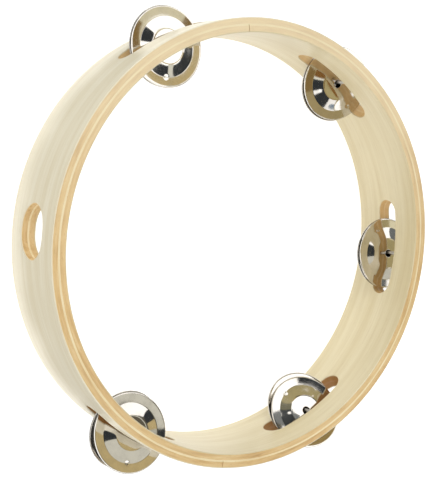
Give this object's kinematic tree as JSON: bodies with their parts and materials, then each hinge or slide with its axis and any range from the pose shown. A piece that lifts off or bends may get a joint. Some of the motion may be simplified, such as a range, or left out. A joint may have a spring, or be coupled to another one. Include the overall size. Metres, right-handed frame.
{
  "type": "tambourine",
  "caption": "Open wooden tambourine: a plywood hoop without a skin, with pairs of loose metal jingles on pins in its slots and a finger hole in its wall.",
  "frame": {"origin": "on the hoop's axis, in the plane of the lower rim", "axes": "+Z along the hoop's axis to the upper rim; +X towards the middle jingle pair, opposite the finger hole; +Y towards the two upper pairs"},
  "size_m": [0.2705, 0.2594, 0.052],
  "materials": {
    "face_veneer": "satin clear-lacquered pale veneer with fine grain along the hoop",
    "core_ply": "satin lacquered end and edge grain, warm brown",
    "back_veneer": "satin pale line of veneer seen on the rim",
    "pin_steel": "plain drawn wire",
    "jingle_metal": "polished nickel plate"
  },
  "bodies": {
    "hoop": {"outer_face_veneer": "face_veneer", "outer_core": "core_ply", "outer_back_veneer": "back_veneer", "inner_back_veneer": "back_veneer", "inner_core": "core_ply", "inner_face_veneer": "face_veneer", "pin_1": "pin_steel", "pin_2": "pin_steel", "pin_3": "pin_steel", "pin_4": "pin_steel", "pin_5": "pin_steel"},
    "jingle_1_upper": {"jingle_1_upper": "jingle_metal"},
    "jingle_1_lower": {"jingle_1_lower": "jingle_metal"},
    "jingle_2_upper": {"jingle_2_upper": "jingle_metal"},
    "jingle_2_lower": {"jingle_2_lower": "jingle_metal"},
    "jingle_3_upper": {"jingle_3_upper": "jingle_metal"},
    "jingle_3_lower": {"jingle_3_lower": "jingle_metal"},
    "jingle_4_upper": {"jingle_4_upper": "jingle_metal"},
    "jingle_4_lower": {"jingle_4_lower": "jingle_metal"},
    "jingle_5_upper": {"jingle_5_upper": "jingle_metal"},
    "jingle_5_lower": {"jingle_5_lower": "jingle_metal"}
  },
  "joints": [
    {"name": "jingle_1_upper_slide", "type": "slide", "parent": "hoop", "child": "jingle_1_upper", "axis": [0, 0, 1], "range_m": [0, 0.0035]},
    {"name": "jingle_1_lower_spin", "type": "hinge", "parent": "hoop", "child": "jingle_1_lower", "pos_m": [-0.05498, 0.10636, 0.02187], "axis": [0.0457, 0.0332, 0.9984], "continuous": true},
    {"name": "jingle_2_upper_slide", "type": "slide", "parent": "hoop", "child": "jingle_2_upper", "axis": [0, 0, 1], "range_m": [0, 0.0062]},
    {"name": "jingle_2_lower_spin", "type": "hinge", "parent": "hoop", "child": "jingle_2_lower", "pos_m": [0.06788, 0.09901, 0.01931], "axis": [-0.1015, -0.1431, 0.9845], "continuous": true},
    {"name": "jingle_3_upper_slide", "type": "slide", "parent": "hoop", "child": "jingle_3_upper", "axis": [0, 0, 1], "range_m": [0, 0.0062]},
    {"name": "jingle_3_lower_spin", "type": "hinge", "parent": "hoop", "child": "jingle_3_lower", "pos_m": [0.121, -0.00454, 0.0197], "axis": [-0.0103, 0.0631, 0.998], "continuous": true},
    {"name": "jingle_4_upper_slide", "type": "slide", "parent": "hoop", "child": "jingle_4_upper", "axis": [0, 0, 1], "range_m": [0, 0.0013]},
    {"name": "jingle_4_lower_spin", "type": "hinge", "parent": "hoop", "child": "jingle_4_lower", "pos_m": [0.06314, -0.10346, 0.02134], "axis": [-0.2126, 0.4638, 0.86], "continuous": true},
    {"name": "jingle_5_upper_spin", "type": "hinge", "parent": "hoop", "child": "jingle_5_upper", "pos_m": [-0.06137, -0.10779, 0.0313], "axis": [-0.0244, 0.1952, 0.9805], "continuous": true},
    {"name": "jingle_5_lower_spin", "type": "hinge", "parent": "hoop", "child": "jingle_5_lower", "pos_m": [-0.06137, -0.10791, 0.01988], "axis": [0.0576, -0.0572, 0.9967], "continuous": true}
  ]
}
